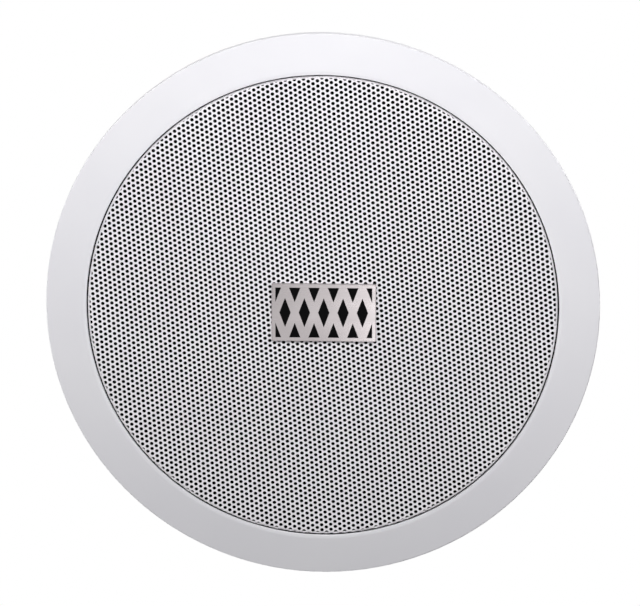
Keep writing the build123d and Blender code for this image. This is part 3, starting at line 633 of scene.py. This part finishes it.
def drawn_in(node, axis):
    """Points and faces of a screw's solid, with its rod narrowed to the thread's root."""
    shape = bmesh.new()
    shape.from_mesh(solids[node].data)
    bmesh.ops.remove_doubles(shape, verts=shape.verts, dist=mm(WELD))
    for level in (THREAD_START - THREAD_TAPER, THREAD_START, THREAD_END, THREAD_END + THREAD_TAPER):
        whole = shape.verts[:] + shape.edges[:] + shape.faces[:]
        bmesh.ops.bisect_plane(shape, geom=whole, plane_co=(0, 0, mm(level)), plane_no=(0, 0, 1))
    shape.verts.index_update()
    points = np.array([vert.co for vert in shape.verts])
    faces = [[vert.index for vert in face.verts] for face in shape.faces]
    shape.free()
    margin = mm(THREAD_TAPER / 2)
    inside = (points[:, 2] > mm(THREAD_START) - margin) & (points[:, 2] < mm(THREAD_END) + margin)
    points[inside, :2] = axis + (points[inside, :2] - axis) * THREAD_ROOT / THREAD_CREST
    return points, faces


# %% Winding a ridge round the rods, in millimetres
THREAD_PITCH = 1.8
THREAD_WIDTH = 0.9
RIDGE_BITE = 0.1
RIDGE_STEPS = 24


def ridge(axis):
    """Points and faces of the ridge, a three-sided bar wound round the axis that fades out at both ends."""
    steps = int((THREAD_END - THREAD_START) / THREAD_PITCH * RIDGE_STEPS)
    foot = THREAD_ROOT - RIDGE_BITE
    points, faces = [], [[0, 1, 2]]
    for step in range(steps + 1):
        turn = 2 * math.pi * step / RIDGE_STEPS
        height = THREAD_START + THREAD_PITCH * step / RIDGE_STEPS
        grown = min(1, 2 * step / RIDGE_STEPS, 2 * (steps - step) / RIDGE_STEPS)
        crest = THREAD_ROOT + grown * (THREAD_CREST - THREAD_ROOT)
        for radius, rise in ((foot, -THREAD_WIDTH / 2), (crest, 0), (foot, THREAD_WIDTH / 2)):
            points.append((radius * math.cos(turn), radius * math.sin(turn), height + rise))
    for near in range(0, 3 * steps, 3):
        for a, b in ((0, 1), (1, 2), (2, 0)):
            faces.append([near + a, near + 3 + a, near + 3 + b, near + b])
    faces.append([3 * steps + 2, 3 * steps + 1, 3 * steps])
    return mm(np.array(points)) + (*axis, 0), faces


for number in range(1, 5):
    node = f"clamp_screw_{number}"
    axis = np.mean(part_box(node), axis=0)[:2]
    rod, rod_faces = drawn_in(node, axis)
    winding, winding_faces = ridge(axis)
    shifted = [[corner + len(rod) for corner in face] for face in winding_faces]
    piece = mesh_object(f"threaded_{node}", np.concatenate([rod, winding]), rod_faces + shifted, screw_zinc)
    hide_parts(node)
    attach(piece, node)
print("threaded screws: 4, faces in the last:", len(piece.data.polygons))

# %% [markdown]
# ## Studio
# The photograph is a product shot on white, taken from below the ceiling. The floor therefore lies beyond
# the camera, and the world is white wherever the camera or a reflection looks, but dimmer as a light. A
# wide strip lamp on the upper side of the picture, closer to the top of the bezel than to its bottom, gives
# the fall in brightness from top to bottom. A small card of light gives the badge its glow from left to
# right. Four soft lamps round the back, two of them brighter, shape the side that faces the ceiling void.

# %% A white world
WORLD_LIGHT = 0.13


def seen_directly(tree):
    """Share that is 1 for rays from the camera and its reflections, 0 for light bouncing about."""
    path = add(tree, "ShaderNodeLightPath").outputs
    first = add(tree, "ShaderNodeMath", {0: path["Is Camera Ray"], 1: path["Is Glossy Ray"]},
                operation="MAXIMUM")
    both = add(tree, "ShaderNodeMath", {0: first.outputs["Value"], 1: path["Is Transmission Ray"]},
               operation="MAXIMUM")
    return both.outputs["Value"]


world = bpy.data.worlds.new("white_studio")
bpy.context.scene.world = world
world.use_nodes = True
tree = world.node_tree
sky = tree.nodes["Background"]
sky.inputs["Color"].default_value = (1, 1, 1, 1)
level = add(tree, "ShaderNodeMapRange",
            {"Value": seen_directly(tree), "To Min": WORLD_LIGHT, "To Max": 1.0})
tree.links.new(level.outputs["Result"], sky.inputs["Strength"])
print("world:", world.name, "at", WORLD_LIGHT, "as a light")

# %% A pale floor
FLOOR_DEPTH = 3.2
FLOOR_SIZE = 60
FLOOR_GLOW = 0.85
# Matt paint: pale and even, without a highlight.
floor_paint = bpy.data.materials.new("pale_floor")
floor_paint.use_nodes = True
tree = floor_paint.node_tree
matt = tree.nodes["Principled BSDF"]
matt.inputs["Base Color"].default_value = linear("E6E6E6")
matt.inputs["Roughness"].default_value = 0.9
glow = add(tree, "ShaderNodeEmission", {"Color": (1, 1, 1, 1), "Strength": 1.0})
share = add(tree, "ShaderNodeMath", {0: seen_directly(tree), 1: FLOOR_GLOW}, operation="MULTIPLY")
mixed = add(tree, "ShaderNodeMixShader", {0: share.outputs["Value"], 1: matt.outputs["BSDF"],
                                          2: glow.outputs["Emission"]})
tree.links.new(mixed.outputs["Shader"], tree.nodes["Material Output"].inputs["Surface"])
bpy.ops.mesh.primitive_plane_add(size=FLOOR_SIZE, location=(0, 0, -FLOOR_DEPTH))
floor = bpy.context.object
floor.name = "studio_floor"
floor.data.materials.append(floor_paint)
print("floor:", floor.name, FLOOR_DEPTH, "m below the ceiling")

# %% Lamps, in metres and watts
MIDDLE = (0, 0, 0)
KEY_PLACE = (0.0, -0.30, -0.40)
KEY_SIZE = (2.0, 0.12)
KEY_WATTS = 5.45
CARD_PLACE = (0.04, 0.066, -0.28)
CARD_TARGET = (0.02, 0, 0)
CARD_SIZE = (0.05, 0.05)
CARD_WATTS = 0.035
BACK_WATTS = {-10: 8.5, -80: 4.5, 105: 4.5, 165: 8.5}  # by azimuth, in degrees
BACK_REACH = 1.27
BACK_HEIGHT = 0.8
BACK_SIZE = (0.7, 0.7)


def softbox(name, place, target, size, watts):
    """Rectangular soft lamp at a place, facing a target."""
    lamp = bpy.data.lights.new(name, "AREA")
    lamp.shape = "RECTANGLE"
    lamp.size, lamp.size_y = size
    lamp.energy = watts
    holder = bpy.data.objects.new(name, lamp)
    bpy.context.scene.collection.objects.link(holder)
    holder.location = place
    holder.rotation_euler = (Vector(target) - Vector(place)).to_track_quat("-Z", "Y").to_euler()
    return holder


lamps = [softbox("key_strip", KEY_PLACE, MIDDLE, KEY_SIZE, KEY_WATTS)]
lamps.append(softbox("badge_card", CARD_PLACE, CARD_TARGET, CARD_SIZE, CARD_WATTS))
for azimuth, watts in BACK_WATTS.items():
    turn = math.radians(azimuth)
    place = (BACK_REACH * math.cos(turn), BACK_REACH * math.sin(turn), BACK_HEIGHT)
    lamps.append(softbox(f"back_softbox_{azimuth}", place, MIDDLE, BACK_SIZE, watts))
bpy.context.scene.view_settings.view_transform = "Standard"
print("lamps:", {lamp.name: round(lamp.data.energy, 3) for lamp in lamps})

# %% [markdown]
# ## Camera
# A long lens, almost square on: the rim is an ellipse only 3 percent narrower than it is wide, which puts
# the camera 14 degrees off the axis, towards the top of the picture and a little to its right.

# %% Camera at the photograph's angle
IMAGE_WIDTH = 640
PIXELS_PER_MM = 2.408
CAMERA_SIDE = (0.0401, -0.2369, -0.9707)
CAMERA_DISTANCE = 2.7
SENSOR_WIDTH = 36.0
FAR_END = 200.0
AIM_HEIGHT = -1.2  # mm
AIM_SHIFT = (-2.9, 1.35)  # pixels to the right and up
toward = Vector(CAMERA_SIDE).normalized()
aim = Vector((0, 0, mm(AIM_HEIGHT)))
right = (-toward).cross(Vector((0, -1, 0))).normalized()
up = right.cross(-toward)
offset = right * mm(AIM_SHIFT[0] / PIXELS_PER_MM) + up * mm(AIM_SHIFT[1] / PIXELS_PER_MM)
camera_data = bpy.data.cameras.new("product_camera")
camera_data.sensor_width = SENSOR_WIDTH
camera_data.lens = SENSOR_WIDTH * CAMERA_DISTANCE / mm(IMAGE_WIDTH / PIXELS_PER_MM)
camera_data.clip_end = FAR_END
camera = bpy.data.objects.new("product_camera", camera_data)
bpy.context.scene.collection.objects.link(camera)
axes = Matrix((right, up, toward)).transposed()
camera.matrix_world = Matrix.Translation(aim + offset + toward * CAMERA_DISTANCE) @ axes.to_4x4()
bpy.context.scene.camera = camera
print("lens:", round(camera_data.lens, 1), "mm")
